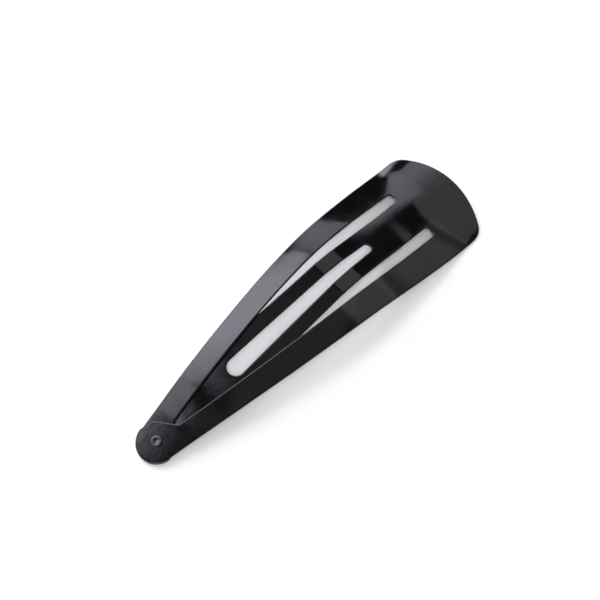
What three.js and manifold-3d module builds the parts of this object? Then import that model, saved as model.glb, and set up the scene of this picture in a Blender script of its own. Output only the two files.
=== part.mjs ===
// Snap hair clip: one stamped sheet of spring steel, closed at its tip by a small eyelet.
//
// Frame: millimetres, +X from the eyelet to the head plate, +Z up. The origin is on the surface
// that the clip lies on, under the middle of its length. Stations along the clip are measured
// from the eyelet's axis towards the head plate.
//
// The sheet is divided where it bends: head plate, two arms in two lengths each, and the tongue.

import * as THREE from 'three';
import Module from 'manifold-3d';
import { mergeVertices } from 'three/addons/utils/BufferGeometryUtils.js';

const wasm = await Module();
wasm.setup();

// Driving dimensions
const LENGTH = 80;
const TIP_RADIUS = 4;
const SHEET = 0.5;
const SEAM = 0.3;

// Height of the sheet's upper face along the middle of the clip
const TIP_HEIGHT = 0.8;
const TIP_SLOPE = 0.17;
const CREST_STATION = 43;
const CREST_HEIGHT = 6.75;
const HEAD_STATION = 71;
const HEAD_HEIGHT = 2.6;

// Crown: the sheet falls by CROWN * y * y to either side of the middle
const CROWN_START = 6;
const CROWN_FULL = 28;
const ARM_CROWN = 0.0115;
const HEAD_CROWN = 0.0156;
const HEAD_CROWN_START = 60;

// Plan of the frame, half widths
const HEAD_HALF_WIDTH = 11.6;
const HEAD_ARC_RADIUS = 20;
const HEAD_SIDE_END = 70.2;
const OPENING_HALF_WIDTH = 6.04;
const SLOT_END = 65.2;
const SLOT_CORNER = 0.85;
const HEAD_CORNER_INSET = 1.5;

// Control points of an arm's edges, from the eyelet towards the head plate
const OUTER_EDGE = [new THREE.Vector2(28, 8.95), new THREE.Vector2(46, 11.8)];
const INNER_EDGE = [new THREE.Vector2(22, 3.4), new THREE.Vector2(42, 6.7)];

// Tip lobes: the right arm's lobe lies on the left arm's, with a rubbing gap between them
const LAP = 0.28;
const LAP_FULL = 4;
const LAP_END = 12;
const NOTCH = new THREE.Vector2(4.8, 0.62);
const LOBE_CORNER = new THREE.Vector2(2.03, 3.35);
const LOBE_CHAMFER_ANGLE = THREE.MathUtils.degToRad(100);

// Tongue
const TONGUE_TIP = 4.2;
const TONGUE_TIP_HEIGHT = 1.35;
const TONGUE_TIP_SLOPE = 0.22;
const TONGUE_ROOT_HALF_WIDTH = 3.9;
const TONGUE_WAIST = 36;
const TONGUE_SHOULDER = new THREE.Vector2(12, 5);
const TONGUE_NOSE = new THREE.Vector2(7, 5.2);
const TONGUE_NOSE_WIDTH = 4;
const CRIMP_FRONT = 43.2;
const CRIMP_FRONT_HEIGHT = 6.55;
const CRIMP_FRONT_SLOPE = 0.095;
const CRIMP_BACK = 47.4;
const CRIMP_BACK_HEIGHT = 6.3;
const ROOT_BEND = 58;
const ROOT_BEND_HEIGHT = 4.18;
const ROOT_END = 63;
const INNER_SLOT = [17.75, 53.7];
const INNER_SLOT_RADIUS = [1.75, 0.9];

// Where the sheet bends when the clip is snapped open or the tongue is pressed
const REAR_FLEX = 54;
const FRONT_FLEX = 29;
const TONGUE_FLEX = 61;

// Eyelet
const EYELET_HOLE_RADIUS = 0.5;
const EYELET_BARREL_RADIUS = 0.7;
const EYELET_FLANGE_RADIUS = 1.04;
const EYELET_FLANGE = 0.2;
const EYELET_FIT = 0.05;

const EYELET_X = TIP_RADIUS - LENGTH / 2;
const HEAD_END = LENGTH - TIP_RADIUS;
const LEFT = 1;
const RIGHT = -1;
const TALL = 20;
const SLOPE_STEP = 0.01;

// Facets: the pitch of the curved sheet's grid, and the segments of a curve in a plan
const GRID = 2;
const GRID_HALF_WIDTH = 13;
const CURVE_SEGMENTS = 24;

const finish = (color, roughness, metalness) => (
  new THREE.MeshStandardMaterial({ color, roughness, metalness })
);
const lacquer = () => finish(0x0b0b0c, 0.16, 0.3);
const eyeletFinish = () => finish(0x101012, 0.3, 0.5);

const smooth = (a, b, x) => THREE.MathUtils.smoothstep(x, a, b);

// Cubic from (x0, z0) with slope m0 to (x1, z1) with slope m1
function hermite(x, [x0, z0, m0], [x1, z1, m1]) {
  const span = x1 - x0;
  const t = (x - x0) / span;
  const rise = t * t * (3 - 2 * t);
  return z0 + (z1 - z0) * rise + span * t * (1 - t) * (m0 * (1 - t) - m1 * t);
}

// Surfaces: height of the sheet's upper face at station s and side position y

function spine(s) {
  if (s < CREST_STATION) {
    return hermite(s, [-TIP_RADIUS, TIP_HEIGHT, TIP_SLOPE], [CREST_STATION, CREST_HEIGHT, 0]);
  }
  return hermite(Math.min(s, HEAD_STATION), [CREST_STATION, CREST_HEIGHT, 0], [HEAD_STATION, HEAD_HEIGHT, 0]);
}

function crown(s) {
  const arms = ARM_CROWN * smooth(CROWN_START, CROWN_FULL, s);
  return arms + (HEAD_CROWN - ARM_CROWN) * smooth(HEAD_CROWN_START, HEAD_STATION, s);
}

const frameHeight = (s, y) => spine(s) - crown(s) * y * y;

// The right arm rises over the left one as both near the eyelet
const armHeight = (side) => (s, y) => frameHeight(s, y) - side * LAP * (1 - smooth(LAP_FULL, LAP_END, s));

const spineSlope = (s) => (spine(s + SLOPE_STEP) - spine(s - SLOPE_STEP)) / (2 * SLOPE_STEP);

// The tongue bows up to its crimp, drops straight from there and curves into the head plate
function tongueSpine(s) {
  if (s < CRIMP_FRONT) {
    return hermite(
      s,
      [TONGUE_TIP, TONGUE_TIP_HEIGHT, TONGUE_TIP_SLOPE],
      [CRIMP_FRONT, CRIMP_FRONT_HEIGHT, CRIMP_FRONT_SLOPE],
    );
  }
  if (s < CRIMP_BACK) {
    return THREE.MathUtils.mapLinear(s, CRIMP_FRONT, CRIMP_BACK, CRIMP_FRONT_HEIGHT, CRIMP_BACK_HEIGHT);
  }
  if (s < ROOT_BEND) {
    return THREE.MathUtils.mapLinear(s, CRIMP_BACK, ROOT_BEND, CRIMP_BACK_HEIGHT, ROOT_BEND_HEIGHT);
  }
  const rootSlope = (ROOT_BEND_HEIGHT - CRIMP_BACK_HEIGHT) / (ROOT_BEND - CRIMP_BACK);
  const rootEnd = [ROOT_END, spine(ROOT_END), spineSlope(ROOT_END)];
  return hermite(s, [ROOT_BEND, ROOT_BEND_HEIGHT, rootSlope], rootEnd);
}

// It is flat across, and takes up the crown of the head plate towards its root
const tongueHeight = (s, y) => tongueSpine(s) - crown(s) * smooth(CRIMP_BACK, ROOT_BEND, s) * y * y;

// Solids

function solidOf(geometry) {
  geometry.deleteAttribute('normal');
  geometry.deleteAttribute('uv');
  const merged = mergeVertices(geometry, 1e-5);
  return new wasm.Manifold(new wasm.Mesh({
    numProp: 3,
    vertProperties: merged.attributes.position.array,
    triVerts: Uint32Array.from(merged.index.array),
  }));
}

function geometryOf(solid) {
  const { vertProperties, triVerts } = solid.getMesh();
  const geometry = new THREE.BufferGeometry();
  geometry.setAttribute('position', new THREE.BufferAttribute(vertProperties, 3));
  geometry.setIndex(new THREE.BufferAttribute(triVerts, 1));
  geometry.computeVertexNormals();
  return geometry;
}

// Evenly spaced grid lines, at most GRID apart
function gridLines(from, to) {
  const count = Math.ceil((to - from) / GRID);
  return Array.from({ length: count + 1 }, (_, i) => from + (to - from) * i / count);
}

// The sheet over a whole rectangle: a grid of facets on its upper and its lower face
function sheet(height, sLines, yLines = gridLines(-GRID_HALF_WIDTH, GRID_HALF_WIDTH)) {
  const rows = sLines.length;
  const columns = yLines.length;
  const top = (i, j) => 2 * (i * columns + j);
  const bottom = (i, j) => top(i, j) + 1;
  const positions = [];
  const index = [];
  const quad = (a, b, c, d) => index.push(a, b, c, a, c, d);
  for (const s of sLines) {
    for (const y of yLines) {
      const z = height(s, y);
      positions.push(s, y, z, s, y, z - SHEET);
    }
  }
  for (let i = 0; i + 1 < rows; i += 1) {
    for (let j = 0; j + 1 < columns; j += 1) {
      quad(top(i, j), top(i + 1, j), top(i + 1, j + 1), top(i, j + 1));
      quad(bottom(i, j), bottom(i, j + 1), bottom(i + 1, j + 1), bottom(i + 1, j));
    }
    quad(bottom(i, 0), bottom(i + 1, 0), top(i + 1, 0), top(i, 0));
    quad(top(i, columns - 1), top(i + 1, columns - 1), bottom(i + 1, columns - 1), bottom(i, columns - 1));
  }
  for (let j = 0; j + 1 < columns; j += 1) {
    quad(top(0, j), top(0, j + 1), bottom(0, j + 1), bottom(0, j));
    quad(bottom(rows - 1, j), bottom(rows - 1, j + 1), top(rows - 1, j + 1), top(rows - 1, j));
  }
  const geometry = new THREE.BufferGeometry();
  geometry.setAttribute('position', new THREE.BufferAttribute(new Float32Array(positions), 3));
  geometry.setIndex(index);
  return solidOf(geometry);
}

// A plan shape as a tall cutter
function cutter(shape) {
  const options = { depth: 2 * TALL, bevelEnabled: false, curveSegments: CURVE_SEGMENTS };
  const geometry = new THREE.ExtrudeGeometry(shape, options);
  geometry.translate(0, 0, -TALL);
  return solidOf(geometry);
}

function roundCutter(s, radius) {
  const shape = new THREE.Shape();
  shape.absarc(s, 0, radius, 0, 2 * Math.PI);
  return cutter(shape);
}

function between(from, to) {
  const geometry = new THREE.BoxGeometry(to - from, 2 * TALL, 2 * TALL);
  geometry.translate((from + to) / 2, 0, 0);
  return solidOf(geometry);
}

// Plans

// An arm with its tip lobe, from the lobe's round end to beyond the end of the side slot
function armPlan(side) {
  const shape = new THREE.Shape();
  shape.moveTo(NOTCH.x, side * NOTCH.y);
  const [innerFront, innerRear] = INNER_EDGE;
  shape.bezierCurveTo(
    innerFront.x, side * innerFront.y, innerRear.x, side * innerRear.y, SLOT_END, side * OPENING_HALF_WIDTH,
  );
  shape.lineTo(HEAD_SIDE_END, side * OPENING_HALF_WIDTH);
  shape.lineTo(HEAD_SIDE_END, side * HEAD_HALF_WIDTH);
  const [outerFront, outerRear] = OUTER_EDGE;
  shape.bezierCurveTo(
    outerRear.x, side * outerRear.y, outerFront.x, side * outerFront.y, 0, side * TIP_RADIUS,
  );
  shape.absarc(0, 0, TIP_RADIUS, side * Math.PI / 2, side * (2 * Math.PI - LOBE_CHAMFER_ANGLE), side < 0);
  shape.lineTo(LOBE_CORNER.x, -side * LOBE_CORNER.y);
  shape.closePath();
  return shape;
}

// The head plate beyond the side slots: an arc across its front, rounded into both sides
function headPlan() {
  const arcCentre = HEAD_END - HEAD_ARC_RADIUS;
  const cornerStation = arcCentre + Math.sqrt(HEAD_ARC_RADIUS ** 2 - HEAD_HALF_WIDTH ** 2);
  const arcAngle = Math.asin((HEAD_HALF_WIDTH - HEAD_CORNER_INSET) / HEAD_ARC_RADIUS);
  const arcEnd = HEAD_ARC_RADIUS * Math.sin(arcAngle);
  const shape = new THREE.Shape();
  shape.moveTo(SLOT_END - SLOT_CORNER, -HEAD_HALF_WIDTH);
  shape.lineTo(HEAD_SIDE_END, -HEAD_HALF_WIDTH);
  shape.quadraticCurveTo(
    cornerStation, -HEAD_HALF_WIDTH, arcCentre + HEAD_ARC_RADIUS * Math.cos(arcAngle), -arcEnd,
  );
  shape.absarc(arcCentre, 0, HEAD_ARC_RADIUS, -arcAngle, arcAngle, false);
  shape.quadraticCurveTo(cornerStation, HEAD_HALF_WIDTH, HEAD_SIDE_END, HEAD_HALF_WIDTH);
  shape.lineTo(SLOT_END - SLOT_CORNER, HEAD_HALF_WIDTH);
  shape.closePath();
  return shape;
}

// The end of a side slot, between the tongue's root and an arm
function slotPlan(side) {
  const inner = side * TONGUE_ROOT_HALF_WIDTH;
  const outer = side * OPENING_HALF_WIDTH;
  const shape = new THREE.Shape();
  shape.moveTo(TONGUE_FLEX, inner);
  shape.lineTo(SLOT_END - SLOT_CORNER, inner);
  shape.quadraticCurveTo(SLOT_END, inner, SLOT_END, inner + side * SLOT_CORNER);
  shape.lineTo(SLOT_END, outer - side * SLOT_CORNER);
  shape.quadraticCurveTo(SLOT_END, outer, SLOT_END - SLOT_CORNER, outer);
  shape.lineTo(TONGUE_FLEX, outer);
  shape.closePath();
  return shape;
}

// The tongue's root, on the head plate
function rootPlan() {
  const shape = new THREE.Shape();
  shape.moveTo(TONGUE_FLEX + SEAM / 2, -TONGUE_ROOT_HALF_WIDTH);
  shape.lineTo(SLOT_END, -TONGUE_ROOT_HALF_WIDTH);
  shape.lineTo(SLOT_END, TONGUE_ROOT_HALF_WIDTH);
  shape.lineTo(TONGUE_FLEX + SEAM / 2, TONGUE_ROOT_HALF_WIDTH);
  shape.closePath();
  return shape;
}

// The tongue with the tapered slot down its middle
function tonguePlan() {
  const half = TONGUE_ROOT_HALF_WIDTH;
  const shoulder = TONGUE_SHOULDER;
  const nose = TONGUE_NOSE;
  const shape = new THREE.Shape();
  shape.moveTo(SLOT_END, -half);
  shape.lineTo(SLOT_END, half);
  shape.quadraticCurveTo(TONGUE_WAIST, half, shoulder.x, shoulder.y);
  shape.bezierCurveTo(nose.x, nose.y, TONGUE_TIP, TONGUE_NOSE_WIDTH, TONGUE_TIP, 0);
  shape.bezierCurveTo(TONGUE_TIP, -TONGUE_NOSE_WIDTH, nose.x, -nose.y, shoulder.x, -shoulder.y);
  shape.quadraticCurveTo(TONGUE_WAIST, -half, SLOT_END, -half);
  const [front, back] = INNER_SLOT;
  const [frontRadius, backRadius] = INNER_SLOT_RADIUS;
  const slot = new THREE.Path();
  slot.absarc(front + frontRadius, 0, frontRadius, Math.PI / 2, 3 * Math.PI / 2, false);
  slot.absarc(back - backRadius, 0, backRadius, -Math.PI / 2, Math.PI / 2, false);
  slot.closePath();
  shape.holes.push(slot);
  return shape;
}

// Pieces

// The head plate with the roots of both arms and of the tongue
function headPlate() {
  const plan = cutter(headPlan())
    .add(cutter(armPlan(LEFT)))
    .add(cutter(armPlan(RIGHT)))
    .intersect(between(REAR_FLEX + SEAM / 2, LENGTH))
    .add(cutter(rootPlan()))
    .subtract(cutter(slotPlan(LEFT)))
    .subtract(cutter(slotPlan(RIGHT)));
  return sheet(frameHeight, gridLines(REAR_FLEX - GRID, HEAD_END + GRID)).intersect(plan);
}

function arm(side, from, to) {
  return sheet(armHeight(side), gridLines(from - GRID, to + GRID))
    .intersect(cutter(armPlan(side)))
    .intersect(between(from, to));
}

const armRear = (side) => arm(side, FRONT_FLEX + SEAM / 2, REAR_FLEX - SEAM / 2);

const armFront = (side) => arm(side, -2 * TIP_RADIUS, FRONT_FLEX - SEAM / 2)
  .subtract(roundCutter(0, EYELET_BARREL_RADIUS + EYELET_FIT));

function tongue() {
  const bowed = gridLines(TONGUE_TIP - GRID, CRIMP_FRONT);
  const root = gridLines(CRIMP_BACK, TONGUE_FLEX);
  return sheet(tongueHeight, [...bowed, ...root])
    .intersect(cutter(tonguePlan()))
    .intersect(between(0, TONGUE_FLEX - SEAM / 2));
}

// Tube through both tips with a rolled flange above and below
function eyeletGeometry() {
  const reach = LAP + SHEET / 2 + EYELET_FIT;
  const top = reach + SHEET / 2;
  const profile = [
    [EYELET_HOLE_RADIUS, -top],
    [EYELET_HOLE_RADIUS + EYELET_FLANGE, -top - EYELET_FLANGE],
    [EYELET_FLANGE_RADIUS, -top],
    [EYELET_BARREL_RADIUS, -top],
    [EYELET_BARREL_RADIUS, top],
    [EYELET_FLANGE_RADIUS, top],
    [EYELET_HOLE_RADIUS + EYELET_FLANGE, top + EYELET_FLANGE],
    [EYELET_HOLE_RADIUS, top],
    [EYELET_HOLE_RADIUS, -top],
  ].map(([r, z]) => new THREE.Vector2(r, z));
  const geometry = new THREE.LatheGeometry(profile, CURVE_SEGMENTS);
  geometry.rotateX(Math.PI / 2);
  return geometry;
}

// Assembly

const group = new THREE.Group();

function place(name, geometry, material) {
  const mesh = new THREE.Mesh(geometry, material);
  mesh.name = name;
  mesh.position.x = EYELET_X;
  group.add(mesh);
  return mesh;
}

place('head_plate', geometryOf(headPlate()), lacquer());
place('left_arm_rear', geometryOf(armRear(LEFT)), lacquer());
place('right_arm_rear', geometryOf(armRear(RIGHT)), lacquer());
place('left_arm_front', geometryOf(armFront(LEFT)), lacquer());
place('right_arm_front', geometryOf(armFront(RIGHT)), lacquer());
place('tongue', geometryOf(tongue()), lacquer());

const eyelet = place('eyelet', eyeletGeometry(), eyeletFinish());
eyelet.position.z = spine(0) - SHEET / 2;
eyelet.rotation.y = -Math.atan(TIP_SLOPE);

// The clip lies on the plane z = 0 on its lowest points
const lowest = new THREE.Box3().setFromObject(group, true).min.z;
for (const mesh of group.children) {
  mesh.position.z -= lowest;
}

export default group;
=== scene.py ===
import math

import bpy
import numpy as np
from mathutils import Matrix, Vector
from mathutils.geometry import delaunay_2d_cdt


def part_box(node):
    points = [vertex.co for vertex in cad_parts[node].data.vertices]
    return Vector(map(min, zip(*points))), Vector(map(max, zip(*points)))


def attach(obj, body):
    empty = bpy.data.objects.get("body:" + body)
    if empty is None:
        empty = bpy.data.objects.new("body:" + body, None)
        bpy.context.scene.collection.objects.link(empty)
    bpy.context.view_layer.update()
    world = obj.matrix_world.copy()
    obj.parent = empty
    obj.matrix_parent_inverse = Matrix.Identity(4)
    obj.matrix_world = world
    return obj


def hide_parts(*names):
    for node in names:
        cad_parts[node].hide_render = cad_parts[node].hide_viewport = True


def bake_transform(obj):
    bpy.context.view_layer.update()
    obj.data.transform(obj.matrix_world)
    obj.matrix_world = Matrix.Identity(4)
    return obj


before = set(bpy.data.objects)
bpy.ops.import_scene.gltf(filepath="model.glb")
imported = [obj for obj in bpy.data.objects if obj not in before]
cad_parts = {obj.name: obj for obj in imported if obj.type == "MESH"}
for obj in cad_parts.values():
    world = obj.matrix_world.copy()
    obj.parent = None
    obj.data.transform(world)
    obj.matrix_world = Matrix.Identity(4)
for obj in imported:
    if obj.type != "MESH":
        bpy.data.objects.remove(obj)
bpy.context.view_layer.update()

# Snap hair clip: the looks. The clip is one stamped and lacquered sheet and an eyelet.
# The clip's lengths are millimetres, stations run along it from the eyelet towards the head
# plate, and all of it becomes metres in the CAD frame when its meshes are made. The floor, the
# camera and the panels are in metres from the start.

MM = 0.001
SLOPE_STEP = 0.02
LEFT = 1
RIGHT = -1

# Sheet
SHEET = 0.5
TOP_EDGE_RADIUS = 0.27
BOTTOM_EDGE_RADIUS = 0.14

# Mesh points: their spacing along outlines and arcs (ARC_TURN is the widest turn between two, in
# radians) and over the faces, where rows stand closer together than the points in a row. The
# gaps are how near points may come to a crease's rows and to an outline.
EDGE_STEP = 0.5
ARC_STEP = 0.35
ARC_TURN = 0.2
GRID_STEP = 1.0
ROW_STEP = 0.87
ROW_GAP = 0.3
EDGE_GAP = 0.21
SAME_POINT = 1e-4
AT_SEAM = 1e-3

# Height of the upper face along the middle: (station, height, slope) at each end of two cubics
TIP_RADIUS = 4.0
TIP = (-TIP_RADIUS, 0.8, 0.17)
CREST = (43.0, 6.75, 0.0)
HEAD = (71.0, 2.6, 0.0)

# Crown: the sheet falls by crown * y * y to either side
CROWN_RISE = (6.0, 28.0)
ARM_CROWN = 0.0115
HEAD_CROWN = 0.0156
HEAD_CROWN_START = 60.0

# Plan
HEAD_END = 76.0
HEAD_HALF_WIDTH = 11.6
HEAD_ARC_RADIUS = 20.0
HEAD_SIDE_END = 70.2
HEAD_CORNER_INSET = 1.5
OPENING_HALF_WIDTH = 6.04
SLOT_END = 65.2
SLOT_CORNER = 0.85
OUTER_EDGE = ((0.0, TIP_RADIUS), (28.0, 8.95), (46.0, 11.8), (HEAD_SIDE_END, HEAD_HALF_WIDTH))
NOTCH = (4.8, 0.62)
INNER_EDGE = (NOTCH, (22.0, 3.4), (42.0, 6.7), (SLOT_END, OPENING_HALF_WIDTH))
LOBE_CORNER = (2.03, 3.35)
LOBE_CORNER_ROUND = 0.55
LOBE_CHAMFER_ANGLE = math.radians(100)
LAP = 0.28
LAP_RANGE = (4.0, 12.0)

# Tongue
TONGUE_TIP = (4.2, 1.35, 0.22)
CRIMP_FRONT = (43.2, 6.55, 0.095)
CRIMP_BACK = (47.4, 6.3)
ROOT_BEND = (58.0, 4.18)
ROOT_END = 63.0
CREASE_HALF = 0.7
CREASE_ROWS = 3
TONGUE_ROOT_HALF_WIDTH = 3.9
TONGUE_WAIST = 36
TONGUE_SHOULDER = (12, 5.0)
TONGUE_NOSE = (7, 5.2)
TONGUE_NOSE_WIDTH = 4
TONGUE_SIDE_POINTS = 110
TONGUE_NOSE_POINTS = 20
TONGUE_SEAM_GAP = 0.2
INNER_SLOT = (17.75, 53.7)
INNER_SLOT_RADIUS = (1.75, 0.9)

# Where one shown sheet ends and the next goes on, and where each bends
ARM_SEAM = 44.0
TONGUE_SEAM = 63.6
REAR_BEND = (64.0, 44.0)
FRONT_BEND = (43.5, 14.5)
TONGUE_BEND = (63.4, 58.6)

# Eyelet
EYELET_HOLE_RADIUS = 0.5
EYELET_BARREL_RADIUS = 0.7
EYELET_FLANGE_RADIUS = 1.04
EYELET_FLANGE = 0.2
EYELET_FIT = 0.05
EYELET_SEGMENTS = 64
EYELET_RIM_SEGMENTS = 12
EYELET_TUCK = 0.01

# The eyelet's rim is a little uneven: (depth, waves round it, phase) of two ripples
EYELET_RIPPLES = ((0.02, 5, 0.6), (0.012, 11, 2.0))

eyelet_low, eyelet_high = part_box("eyelet")
EYELET_X = (eyelet_low.x + eyelet_high.x) / 2
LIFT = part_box("tongue")[1].z - CRIMP_FRONT[1] * MM


def smooth(a, b, x):
    t = min(max((x - a) / (b - a), 0.0), 1.0)
    return t * t * (3 - 2 * t)


def hermite(x, start, end):
    (x0, z0, m0), (x1, z1, m1) = start, end
    span = x1 - x0
    t = (x - x0) / span
    rise = t * t * (3 - 2 * t)
    return z0 + (z1 - z0) * rise + span * t * (1 - t) * (m0 * (1 - t) - m1 * t)


# ---------------------------------------------------------------- surfaces

def spine(s):
    if s < CREST[0]:
        return hermite(s, TIP, CREST)
    return hermite(min(s, HEAD[0]), CREST, HEAD)


def crown(s):
    arms = ARM_CROWN * smooth(*CROWN_RISE, s)
    return arms + (HEAD_CROWN - ARM_CROWN) * smooth(HEAD_CROWN_START, HEAD[0], s)


def frame_height(s, y):
    return spine(s) - crown(s) * y * y


def arm_height(side):
    def height(s, y):
        return frame_height(s, y) - side * LAP * (1 - smooth(*LAP_RANGE, s))
    return height


def crease(s, at, slope_before, slope_after):
    """Height to take off a sharp crease so that it bends over 2 * CREASE_HALF."""
    reach = CREASE_HALF - abs(s - at)
    if reach <= 0:
        return 0.0
    return (slope_after - slope_before) * reach * reach / (4 * CREASE_HALF)


BAND_SLOPE = (CRIMP_BACK[1] - CRIMP_FRONT[1]) / (CRIMP_BACK[0] - CRIMP_FRONT[0])
ROOT_SLOPE = (ROOT_BEND[1] - CRIMP_BACK[1]) / (ROOT_BEND[0] - CRIMP_BACK[0])


def spine_slope(s):
    return (spine(s + SLOPE_STEP) - spine(s - SLOPE_STEP)) / (2 * SLOPE_STEP)


def tongue_spine(s):
    if s < CRIMP_FRONT[0]:
        return hermite(s, TONGUE_TIP, CRIMP_FRONT)
    if s < CRIMP_BACK[0]:
        return CRIMP_FRONT[1] + BAND_SLOPE * (s - CRIMP_FRONT[0])
    if s < ROOT_BEND[0]:
        return CRIMP_BACK[1] + ROOT_SLOPE * (s - CRIMP_BACK[0])
    if s < ROOT_END:
        return hermite(s, (*ROOT_BEND, ROOT_SLOPE), (ROOT_END, spine(ROOT_END), spine_slope(ROOT_END)))
    return spine(s)


def tongue_height(s, y):
    """Flat across, but taking up the crown of the head plate towards its root."""
    z = tongue_spine(s) - crown(s) * smooth(CRIMP_BACK[0], ROOT_BEND[0], s) * y * y
    z += crease(s, CRIMP_FRONT[0], CRIMP_FRONT[2], BAND_SLOPE)
    return z + crease(s, CRIMP_BACK[0], BAND_SLOPE, ROOT_SLOPE)


def surface_normal(height, s, y):
    d = SLOPE_STEP
    ds = (height(s + d, y) - height(s - d, y)) / (2 * d)
    dy = (height(s, y + d) - height(s, y - d)) / (2 * d)
    return Vector((-ds, -dy, 1)).normalized()


# ---------------------------------------------------------------- outlines

def bezier(points, t):
    p0, p1, p2, p3 = (Vector(p) for p in points)
    u = 1 - t
    return u * u * u * p0 + 3 * u * u * t * p1 + 3 * u * t * t * p2 + t * t * t * p3


def half_width(points, s):
    """The half width at station s of an edge that is a cubic curve along the clip."""
    low, high = 0.0, 1.0
    for _ in range(40):
        middle = (low + high) / 2
        if bezier(points, middle).x < s:
            low = middle
        else:
            high = middle
    return bezier(points, low).y


def edge_run(points, start, end):
    """Points along such an edge from one station to another."""
    count = max(2, round(abs(end - start) / EDGE_STEP))
    stations = [start + (end - start) * i / count for i in range(count + 1)]
    return [(s, half_width(points, s)) for s in stations]


def line_run(a, b):
    count = max(1, round(math.dist(a, b) / EDGE_STEP))
    across = (b[0] - a[0], b[1] - a[1])
    return [(a[0] + across[0] * i / count, a[1] + across[1] * i / count) for i in range(count + 1)]


def arc_run(centre, radius, start, end):
    turn = abs(end - start)
    count = max(6, round(turn * radius / ARC_STEP), round(turn / ARC_TURN))
    angles = [start + (end - start) * i / count for i in range(count + 1)]
    return [(centre[0] + radius * math.cos(a), centre[1] + radius * math.sin(a)) for a in angles]


def corner_run(a, corner, b, count=8):
    """A rounded corner: a quadratic curve from a to b."""
    run = []
    for i in range(count + 1):
        t = i / count
        u = 1 - t
        run.append(tuple(u * u * a[k] + 2 * u * t * corner[k] + t * t * b[k] for k in range(2)))
    return run


def towards(a, b, distance):
    part = distance / math.dist(a, b)
    return (a[0] + (b[0] - a[0]) * part, a[1] + (b[1] - a[1]) * part)


def mirrored(run):
    return [(s, -y) for s, y in reversed(run)]


def loop(*runs):
    """Joins runs into one closed loop, without the doubled points where they meet."""
    points = []
    for run in runs:
        for point in run:
            if not points or math.dist(points[-1], point) > SAME_POINT:
                points.append(point)
    if math.dist(points[0], points[-1]) < SAME_POINT:
        points.pop()
    return points


def arm_front_loop(side):
    """One arm from the seam to its tip lobe, for the left side, then mirrored for the right one."""
    chamfer = (
        TIP_RADIUS * math.cos(LOBE_CHAMFER_ANGLE),
        -TIP_RADIUS * math.sin(LOBE_CHAMFER_ANGLE),
    )
    corner = (LOBE_CORNER[0], -LOBE_CORNER[1])
    outer_end = (ARM_SEAM, half_width(OUTER_EDGE, ARM_SEAM))
    inner_end = (ARM_SEAM, half_width(INNER_EDGE, ARM_SEAM))
    before = towards(corner, NOTCH, LOBE_CORNER_ROUND)
    after = towards(corner, chamfer, LOBE_CORNER_ROUND)
    points = loop(
        line_run(outer_end, inner_end),
        edge_run(INNER_EDGE, ARM_SEAM, NOTCH[0]),
        line_run(NOTCH, before),
        corner_run(before, corner, after),
        line_run(after, chamfer),
        arc_run((0, 0), TIP_RADIUS, -LOBE_CHAMFER_ANGLE, -1.5 * math.pi),
        edge_run(OUTER_EDGE, 0.0, ARM_SEAM),
    )
    return points[::-1] if side == LEFT else [(s, -y) for s, y in points]


def slot_end_run():
    """Round the end of the left side slot, from the arm's inner edge to the tongue's root."""
    inner = TONGUE_ROOT_HALF_WIDTH
    outer = OPENING_HALF_WIDTH
    near = SLOT_END - SLOT_CORNER
    first = corner_run((near, outer), (SLOT_END, outer), (SLOT_END, outer - SLOT_CORNER))
    second = corner_run((SLOT_END, inner + SLOT_CORNER), (SLOT_END, inner), (near, inner))
    return first + second


def head_loop():
    """The head plate with the roots of both arms and the tongue."""
    arc_centre = HEAD_END - HEAD_ARC_RADIUS
    arc_angle = math.asin((HEAD_HALF_WIDTH - HEAD_CORNER_INSET) / HEAD_ARC_RADIUS)
    arc_end = (
        arc_centre + HEAD_ARC_RADIUS * math.cos(arc_angle),
        HEAD_ARC_RADIUS * math.sin(arc_angle),
    )
    corner = (arc_centre + math.sqrt(HEAD_ARC_RADIUS**2 - HEAD_HALF_WIDTH**2), HEAD_HALF_WIDTH)
    left_corner = corner_run(arc_end, corner, (HEAD_SIDE_END, HEAD_HALF_WIDTH), 10)
    front = arc_run((arc_centre, 0), HEAD_ARC_RADIUS, -arc_angle, arc_angle)
    outer = edge_run(OUTER_EDGE, HEAD_SIDE_END, ARM_SEAM)
    inner = edge_run(INNER_EDGE, ARM_SEAM, SLOT_END - SLOT_CORNER)
    slot = slot_end_run()
    root = line_run((SLOT_END - SLOT_CORNER, TONGUE_ROOT_HALF_WIDTH), (TONGUE_SEAM, TONGUE_ROOT_HALF_WIDTH))
    cut = line_run(outer[-1], inner[0])
    root_cut = line_run(root[-1], (TONGUE_SEAM, -TONGUE_ROOT_HALF_WIDTH))
    left = left_corner + outer + cut + inner + slot + root
    return loop(front, left, root_cut, mirrored(left))


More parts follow.
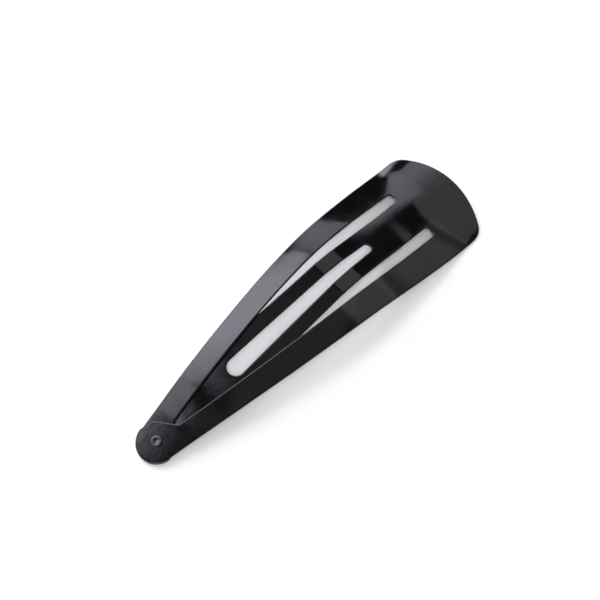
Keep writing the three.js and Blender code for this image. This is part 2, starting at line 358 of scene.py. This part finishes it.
def tongue_loops():
    """The tongue's outline, and the tapered slot down its middle."""
    half = TONGUE_ROOT_HALF_WIDTH
    tip = TONGUE_TIP[0]
    side = corner_run((SLOT_END, half), (TONGUE_WAIST, half), TONGUE_SHOULDER, TONGUE_SIDE_POINTS)
    side = [p for p in side if p[0] < TONGUE_SEAM - TONGUE_SEAM_GAP]
    nose = (TONGUE_SHOULDER, TONGUE_NOSE, (tip, TONGUE_NOSE_WIDTH), (tip, 0))
    parts = [i / TONGUE_NOSE_POINTS for i in range(TONGUE_NOSE_POINTS + 1)]
    round_end = [tuple(bezier(nose, part)) for part in parts]
    upper = [(TONGUE_SEAM, half)] + side + round_end
    cut = line_run((TONGUE_SEAM, -half), (TONGUE_SEAM, half))
    outline = loop(cut, upper, mirrored(upper))
    (front, back), (front_radius, back_radius) = INNER_SLOT, INNER_SLOT_RADIUS
    front_arc = arc_run((front + front_radius, 0), front_radius, -math.pi / 2, -1.5 * math.pi)
    back_arc = arc_run((back - back_radius, 0), back_radius, math.pi / 2, -math.pi / 2)
    slot = loop(
        front_arc,
        line_run(front_arc[-1], back_arc[0]),
        back_arc,
        line_run(back_arc[-1], front_arc[0]),
    )
    return [outline, slot]


# ---------------------------------------------------------------- sheet meshes

def edge_normals(points, is_cut):
    """Outward normal of each edge of a loop, and whether it is a seam, with no rounding."""
    count = len(points)
    normals = []
    cuts = []
    for i in range(count):
        a, b = points[i], points[(i + 1) % count]
        d = Vector((b[1] - a[1], a[0] - b[0]))
        normals.append(d.normalized())
        cuts.append(is_cut(a, b))
    return normals, cuts


def inset_loop(points, normals, cuts, depth):
    """The loop moved inwards by depth, but not at seams."""
    moved = []
    for i, p in enumerate(points):
        n0, n1 = normals[i - 1], normals[i]
        d0 = 0.0 if cuts[i - 1] else depth
        d1 = 0.0 if cuts[i] else depth
        turn = n0.x * n1.y - n0.y * n1.x
        if d0 == d1:
            m = (n0 + n1).normalized()
            step = d0 / max(m.dot(n0), 0.5)
            moved.append((p[0] - m.x * step, p[1] - m.y * step))
        else:
            x = (-d0 * n1.y + d1 * n0.y) / turn
            y = (-d1 * n0.x + d0 * n1.x) / turn
            moved.append((p[0] + x, p[1] + y))
    return moved


def side_normals(normals, cuts):
    """Outward direction at each point of a loop, leaving out the seams beside it."""
    sides = []
    for i in range(len(normals)):
        both = [n for n, c in ((normals[i - 1], cuts[i - 1]), (normals[i], cuts[i])) if not c]
        total = sum(both, Vector((0, 0))) if both else normals[i]
        sides.append(total.normalized())
    return sides


def edge_profile():
    """(inset, drop, share of the side's normal, share of the face's normal) down the sheet's edge."""
    rows = []
    for k in range(5):
        a = math.pi / 2 * k / 4
        r = TOP_EDGE_RADIUS
        rows.append((r * (1 - math.sin(a)), r * (1 - math.cos(a)), math.sin(a), math.cos(a)))
    for k in range(4):
        a = math.pi / 2 * k / 3
        r = BOTTOM_EDGE_RADIUS
        drop = SHEET - r * (1 - math.sin(a))
        rows.append((r * (1 - math.cos(a)), drop, math.cos(a), -math.sin(a)))
    return rows


def inside(points, loops):
    """Which of the points are inside an odd number of loops."""
    result = np.zeros(len(points), bool)
    for ring in loops:
        a = np.array(ring)
        b = np.roll(a, -1, axis=0)
        for (ax, ay), (bx, by) in zip(a, b):
            if ay == by:
                continue
            crosses = (points[:, 1] > min(ay, by)) & (points[:, 1] <= max(ay, by))
            x = ax + (points[:, 1] - ay) / (by - ay) * (bx - ax)
            result ^= crosses & (x > points[:, 0])
    return result


def clearance(points, loops):
    """How far each point is from the nearest point of the loops."""
    edge = np.concatenate([np.array(ring) for ring in loops])
    best = np.full(len(points), np.inf)
    for p in edge:
        best = np.minimum(best, np.hypot(points[:, 0] - p[0], points[:, 1] - p[1]))
    return best


def fill_points(loops, extra_rows):
    """Evenly spaced points inside the loops, and extra rows of them where the sheet is creased."""
    edge = np.concatenate([np.array(ring) for ring in loops])
    low, high = edge.min(0), edge.max(0)
    rows = list(np.arange(low[0], high[0], GRID_STEP * ROW_STEP))
    rows = [s for s in rows if all(abs(s - e) > ROW_GAP for e in extra_rows)]
    rows += extra_rows
    points = []
    for i, s in enumerate(sorted(rows)):
        shift = 0.5 * GRID_STEP * (i % 2)
        points += [(s, y) for y in np.arange(low[1] + shift, high[1], GRID_STEP)]
    points = np.array(points)
    keep = inside(points, loops) & (clearance(points, loops) > EDGE_GAP)
    return points[keep]


def triangulate(loops, points):
    """Triangles between the loops' points and the points inside them, as indices into both."""
    coords = []
    edges = []
    for ring in loops:
        first = len(coords)
        coords += [Vector(p) for p in ring]
        edges += [(first + i, first + (i + 1) % len(ring)) for i in range(len(ring))]
    coords += [Vector(p) for p in points]
    verts, _, faces, origin, _, _ = delaunay_2d_cdt(coords, edges, [], 0, 1e-6)
    centres = np.array([sum((verts[i] for i in f), Vector((0, 0))) / len(f) for f in faces])
    keep = inside(centres, loops)
    return [[origin[i][0] for i in f] for f, k in zip(faces, keep) if k]


def to_row(s, y, z):
    """The place in the CAD frame of a station, an offset from the middle and a height."""
    return Vector((EYELET_X + s * MM, y * MM, LIFT + z * MM))


def mesh_object(name, verts, faces, normals=None):
    mesh = bpy.data.meshes.new(name)
    mesh.from_pydata([tuple(v) for v in verts], [], faces)
    mesh.shade_smooth()
    if normals is not None:
        mesh.normals_split_custom_set_from_vertices([tuple(n) for n in normals])
    piece = bpy.data.objects.new(name, mesh)
    bpy.context.scene.collection.objects.link(piece)
    return piece


def sheet_piece(name, loops, height, seams=(), extra_rows=()):
    """A closed sheet over a plan, with rounded edges. seams are stations where it is cut square."""
    def is_cut(a, b):
        return any(abs(a[0] - s) < AT_SEAM and abs(b[0] - s) < AT_SEAM for s in seams)

    profile = edge_profile()
    verts = []
    normals = []
    faces = []
    top_loops = []
    top_index = []
    bottom_index = []
    for ring in loops:
        flat, cuts = edge_normals(ring, is_cut)
        sides = side_normals(flat, cuts)
        count = len(ring)
        first = len(verts)
        for depth, drop, side_share, face_share in profile:
            for (s, y), side in zip(inset_loop(ring, flat, cuts, depth), sides):
                face = surface_normal(height, s, y)
                verts.append(to_row(s, y, height(s, y) - drop))
                normals.append((face_share * face + side_share * side.to_3d()).normalized())
        for k in range(len(profile) - 1):
            for i in range(count):
                a = first + k * count + i
                b = first + k * count + (i + 1) % count
                faces.append((a, a + count, b + count, b))
        top_loops.append(inset_loop(ring, flat, cuts, profile[0][0]))
        top_index += range(first, first + count)
        bottom_index += range(first + (len(profile) - 1) * count, first + len(profile) * count)
    points = fill_points(top_loops, extra_rows)
    for s, y in points:
        face = surface_normal(height, s, y)
        z = height(s, y)
        top_index.append(len(verts))
        verts.append(to_row(s, y, z))
        normals.append(face)
        bottom_index.append(len(verts))
        verts.append(to_row(s, y, z - SHEET))
        normals.append(-face)
    for face in triangulate(top_loops, points):
        faces.append([top_index[i] for i in face])
        faces.append([bottom_index[i] for i in reversed(face)])
    return mesh_object(name, verts, faces, normals)


# ---------------------------------------------------------------- materials

def new_material(name):
    material = bpy.data.materials.new(name)
    material.use_nodes = True
    tree = material.node_tree
    return material, tree, tree.nodes["Principled BSDF"]


def noise(tree, scale, detail=2.0, roughness=0.5):
    coordinates = tree.nodes.new("ShaderNodeTexCoord")
    node = tree.nodes.new("ShaderNodeTexNoise")
    node.inputs["Scale"].default_value = scale
    node.inputs["Detail"].default_value = detail
    node.inputs["Roughness"].default_value = roughness
    tree.links.new(coordinates.outputs["Object"], node.inputs["Vector"])
    return node.outputs["Fac"]


def ramp(tree, value, low, high, start=0.35, end=0.65):
    node = tree.nodes.new("ShaderNodeValToRGB")
    node.color_ramp.elements[0].position = start
    node.color_ramp.elements[1].position = end
    node.color_ramp.elements[0].color = (*low, 1)
    node.color_ramp.elements[1].color = (*high, 1)
    tree.links.new(value, node.inputs["Fac"])
    return node.outputs["Color"]


def grey(v):
    return (v, v, v)


def bump(tree, value, strength, distance, below=None):
    node = tree.nodes.new("ShaderNodeBump")
    node.inputs["Strength"].default_value = strength
    node.inputs["Distance"].default_value = distance
    tree.links.new(value, node.inputs["Height"])
    if below is not None:
        tree.links.new(below, node.inputs["Normal"])
    return node.outputs["Normal"]


def lacquer():
    material, tree, shader = new_material("black_lacquer")
    colour = ramp(tree, noise(tree, 90, 3), (0.0020, 0.0020, 0.0023), (0.0040, 0.0039, 0.0042))
    tree.links.new(colour, shader.inputs["Base Color"])
    rough = ramp(tree, noise(tree, 260, 4, 0.6), grey(0.06), grey(0.11))
    tree.links.new(rough, shader.inputs["Roughness"])
    peel = bump(tree, noise(tree, 700, 2), 0.05, 0.0001)
    fine = bump(tree, noise(tree, 4200, 2), 0.03, 0.00003, peel)
    tree.links.new(fine, shader.inputs["Normal"])
    shader.inputs["Metallic"].default_value = 0.0
    shader.inputs["IOR"].default_value = 1.52
    return material


def eyelet_finish():
    material, tree, shader = new_material("eyelet_finish")
    colour = ramp(tree, noise(tree, 1500, 4, 0.7), (0.10, 0.10, 0.105), (0.18, 0.18, 0.18), 0.4, 0.7)
    tree.links.new(colour, shader.inputs["Base Color"])
    rough = ramp(tree, noise(tree, 2500, 3), grey(0.28), grey(0.42))
    tree.links.new(rough, shader.inputs["Roughness"])
    tree.links.new(bump(tree, noise(tree, 3000, 3), 0.12, 0.00004), shader.inputs["Normal"])
    shader.inputs["Metallic"].default_value = 0.8
    return material


def floor_finish():
    material, tree, shader = new_material("pale_floor")
    colour = ramp(tree, noise(tree, 40, 2), grey(0.90), grey(0.92))
    tree.links.new(colour, shader.inputs["Base Color"])
    shader.inputs["Roughness"].default_value = 0.9
    shader.inputs["Specular IOR Level"].default_value = 0.0
    return material


# ---------------------------------------------------------------- pieces

def station(s):
    """A point of the row frame at a station."""
    return (EYELET_X + s * MM, 0, 0)


def bend(piece, stations):
    station(stations[0])
    station(stations[1])
    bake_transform(piece)


BLACK = lacquer()


def finish_sheet(piece, *nodes):
    piece.data.materials.append(BLACK)
    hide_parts(*nodes)


def make_head():
    """Head plate, with the rear half of both arms in the same sheet."""
    piece = sheet_piece("head_sheet", [head_loop()], frame_height, (ARM_SEAM, TONGUE_SEAM))
    bend(piece, REAR_BEND)
    finish_sheet(piece, "head_plate", "left_arm_rear", "right_arm_rear")


def make_arm(name, side, node):
    hole = loop(arc_run((0, 0), EYELET_BARREL_RADIUS + EYELET_FIT, 2 * math.pi, 0))
    piece = sheet_piece(name, [arm_front_loop(side), hole], arm_height(side), (ARM_SEAM,))
    bend(piece, FRONT_BEND)
    finish_sheet(piece, node)


def make_tongue():
    """Tongue, with rows of points close together across its two creases."""
    rows = []
    for at in (CRIMP_FRONT[0], CRIMP_BACK[0]):
        rows += [at + CREASE_HALF * k / CREASE_ROWS for k in range(-CREASE_ROWS - 1, CREASE_ROWS + 2)]
    piece = sheet_piece("tongue_sheet", tongue_loops(), tongue_height, (TONGUE_SEAM,), rows)
    bend(piece, TONGUE_BEND)
    finish_sheet(piece, "tongue")


def eyelet_profile():
    """(radius, height) once round the wall of the eyelet: over the upper rim, down and back up."""
    reach = LAP + SHEET + EYELET_FIT
    middle = (EYELET_HOLE_RADIUS + EYELET_FLANGE_RADIUS) / 2
    half = (EYELET_FLANGE_RADIUS - EYELET_HOLE_RADIUS) / 2
    profile = []
    for end in (1, -1):
        rim = []
        for k in range(EYELET_RIM_SEGMENTS + 1):
            a = math.pi * k / EYELET_RIM_SEGMENTS
            rim.append((middle - half * math.cos(a), end * (reach + EYELET_FLANGE * math.sin(a))))
        rim.append((EYELET_BARREL_RADIUS, end * (reach + EYELET_TUCK)))
        profile += rim if end == 1 else rim[::-1]
    return profile


def make_eyelet():
    """Tube with rims rolled outwards, a little uneven round their edge."""
    profile = eyelet_profile()
    middle = (EYELET_HOLE_RADIUS + EYELET_FLANGE_RADIUS) / 2
    half = (EYELET_FLANGE_RADIUS - EYELET_HOLE_RADIUS) / 2
    tilt = Matrix.Rotation(-math.atan(TIP[2]), 3, "Y")
    centre = Vector((0, 0, spine(0) - SHEET / 2))
    count = len(profile)
    verts = []
    faces = []
    for i in range(EYELET_SEGMENTS):
        angle = 2 * math.pi * i / EYELET_SEGMENTS
        ripple = sum(depth * math.sin(waves * angle + phase) for depth, waves, phase in EYELET_RIPPLES)
        for r, z in profile:
            outer = max(r - middle, 0.0) / half
            radius = r * (1 - abs(ripple) * outer)
            p = centre + tilt @ Vector((radius * math.cos(angle), radius * math.sin(angle), z))
            verts.append(to_row(*p))
        here = i * count
        after = (i + 1) % EYELET_SEGMENTS * count
        for k in range(count):
            up = (k + 1) % count
            faces.append((here + k, here + up, after + up, after + k))
    piece = mesh_object("eyelet_rolled", verts, faces)
    piece.data.materials.append(eyelet_finish())
    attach(piece, "arms_front")
    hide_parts("eyelet")


make_head()
make_arm("left_arm_sheet", LEFT, "left_arm_front")
make_arm("right_arm_sheet", RIGHT, "right_arm_front")
make_tongue()
make_eyelet()


# ---------------------------------------------------------------- stage, light and camera

FLOOR_HALF = 1.5


def make_floor():
    size = FLOOR_HALF
    verts = [(-size, -size, 0), (size, -size, 0), (size, size, 0), (-size, size, 0)]
    floor = mesh_object("floor", verts, [(0, 1, 2, 3)])
    floor.data.materials.append(floor_finish())


# The camera: azimuth, elevation and roll of the view, its distance, lens and aim
VIEW_AZIMUTH = math.radians(-41)
VIEW_ELEVATION = math.radians(66)
VIEW_ROLL = math.radians(2.9)
VIEW_DISTANCE = 0.2687
VIEW_LENS = 85.5
VIEW_AIM = Vector((EYELET_X + 38.1 * MM, 2.75 * MM, 0))
SENSOR_WIDTH = 36

# Light: how far the soft panels stand from the clip, the surroundings' brightness, and colours
PANEL_DISTANCE = 1.0
WORLD_STRENGTH = 0.35
VIOLET = (0.9, 0.86, 1.0)
WARM = (1.0, 0.93, 0.91)
WHITE = (1.0, 1.0, 1.0)
CREAM = (1.0, 1.0, 0.985)


def direction(turn, elevation):
    """A direction seen from the clip: turn is degrees left of straight away from the camera."""
    a = VIEW_AZIMUTH + math.radians(turn)
    e = math.radians(elevation)
    return Vector((-math.sin(a) * math.cos(e), math.cos(a) * math.cos(e), math.sin(e)))


def make_camera():
    a, e = VIEW_AZIMUTH, VIEW_ELEVATION
    back = Vector((math.sin(a) * math.cos(e), -math.cos(a) * math.cos(e), math.sin(e)))
    level = Vector((math.cos(a), math.sin(a), 0))
    rise = back.cross(level)
    right = math.cos(VIEW_ROLL) * level - math.sin(VIEW_ROLL) * rise
    up = back.cross(right)
    camera = bpy.data.objects.new("camera", bpy.data.cameras.new("camera"))
    bpy.context.scene.collection.objects.link(camera)
    camera.data.lens = VIEW_LENS
    camera.data.sensor_width = SENSOR_WIDTH
    camera.data.clip_start = 0.001
    camera.data.clip_end = 20
    turn = Matrix((right, up, back)).transposed().to_4x4()
    camera.matrix_world = Matrix.Translation(VIEW_AIM + back * VIEW_DISTANCE) @ turn
    bpy.context.scene.camera = camera


def fade(tree, value, stops):
    """A smooth grey profile over 0..1, from (position, brightness) stops."""
    node = tree.nodes.new("ShaderNodeValToRGB")
    node.color_ramp.interpolation = "EASE"
    elements = node.color_ramp.elements
    while len(elements) < len(stops):
        elements.new(0.5)
    for element, (position, brightness) in zip(elements, stops):
        element.position = position
        element.color = (brightness, brightness, brightness, 1)
    tree.links.new(value, node.inputs["Fac"])
    return node.outputs["Color"]


def soft_sides(share):
    return ((0.0, 0.0), (share, 1.0), (1.0 - share, 1.0), (1.0, 0.0))


def make_panel(name, ends, width, radiance, colour, glossy=True, along=None, across=None):
    """A soft panel PANEL_DISTANCE from the clip, between two directions, facing the clip.

    along is its brightness profile from its first end to its last, across the one over its width.
    """
    first, last = (direction(*end) * PANEL_DISTANCE for end in ends)
    facing = (first + last).normalized()
    length_axis = (last - first).normalized()
    light = bpy.data.lights.new(name, "AREA")
    light.shape = "RECTANGLE"
    light.size = (last - first).length
    light.size_y = width
    light.energy = radiance * math.pi * light.size * width
    light.color = colour
    light.use_nodes = True
    tree = light.node_tree
    place = tree.nodes.new("ShaderNodeSeparateXYZ")
    tree.links.new(tree.nodes.new("ShaderNodeNewGeometry").outputs["Parametric"], place.inputs["Vector"])
    both = tree.nodes.new("ShaderNodeMix")
    both.data_type = "RGBA"
    both.blend_type = "MULTIPLY"
    both.inputs["Factor"].default_value = 1.0
    tree.links.new(fade(tree, place.outputs["X"], along or soft_sides(0.2)), both.inputs["A"])
    tree.links.new(fade(tree, place.outputs["Y"], across or soft_sides(0.2)), both.inputs["B"])
    tree.links.new(both.outputs["Result"], tree.nodes["Emission"].inputs["Color"])
    panel = bpy.data.objects.new(name, light)
    bpy.context.scene.collection.objects.link(panel)
    turn = Matrix((length_axis, facing.cross(length_axis), facing)).transposed().to_4x4()
    panel.matrix_world = Matrix.Translation((first + last) / 2) @ turn
    panel.visible_camera = False
    panel.visible_glossy = glossy


def make_world():
    world = bpy.data.worlds.new("world")
    world.use_nodes = True
    background = world.node_tree.nodes["Background"]
    background.inputs["Color"].default_value = (*WHITE, 1)
    background.inputs["Strength"].default_value = WORLD_STRENGTH
    world.cycles_visibility.glossy = False
    bpy.context.scene.world = world


def make_left_reflections():
    """The bright bluish panels that the left arm and the left of the head plate mirror."""
    sharp = soft_sides(0.04)
    make_panel("arm_key_end", ((85, 63.4), (64.5, 65.8)), 0.08, 3.1, VIOLET,
               along=((0, 0), (0.04, 1), (0.82, 1), (1, 0)), across=sharp)
    make_panel("arm_key", ((70, 63.4), (17, 45)), 0.32, 5.6, VIOLET,
               along=((0, 0), (0.06, 0.66), (0.12, 0.76), (0.5, 1.0), (0.75, 0.95), (1, 0.5)),
               across=((0, 0), (0.3, 1), (0.9, 1), (1, 0.6)))
    make_panel("head_key", ((9.5, 54.5), (-8.4, 33.3)), 0.44, 2.5, VIOLET,
               along=((0, 0.3), (0.2, 0.55), (0.4, 0.9), (0.7, 1), (1, 0.9)),
               across=((0, 0), (0.25, 0.9), (0.8, 1), (1, 0.8)))
    make_panel("low_strip", ((80, 17), (3, 15)), 0.4, 5.0, VIOLET, along=sharp, across=soft_sides(0.1))


def make_warm_reflections():
    """The dim brownish panels that the head plate, the right arm and the tongue mirror."""
    sharp = soft_sides(0.04)
    make_panel("warm_head", ((-6, 56.8), (-88, 57)), 0.4, 0.76, WARM, along=sharp, across=sharp)
    make_panel("warm_arm", ((-38, 48.3), (-80, 40)), 0.25, 0.74, WARM, along=sharp,
               across=((0, 0.3), (0.35, 0.45), (0.6, 1), (1, 1)))
    make_panel("overhead", ((85, 72), (-85, 72)), 0.7, 0.31, WARM)


def make_plain_light():
    """Soft panels behind the camera for the other sides, and light for the floor and its shadow."""
    make_panel("back_left", ((130, 40), (175, 25)), 0.5, 1.5, WHITE)
    make_panel("back_right", ((-100, 25), (-150, 25)), 0.4, 1.0, WHITE)
    make_panel("shadow_key", ((50, 45), (10, 45)), 0.3, 1.2, WHITE, glossy=False)
    make_panel("front_fill", ((165, 66), (195, 66)), 0.4, 18, CREAM, glossy=False)


make_floor()
make_camera()
make_world()
make_left_reflections()
make_warm_reflections()
make_plain_light()
bpy.context.scene.view_settings.view_transform = "Standard"
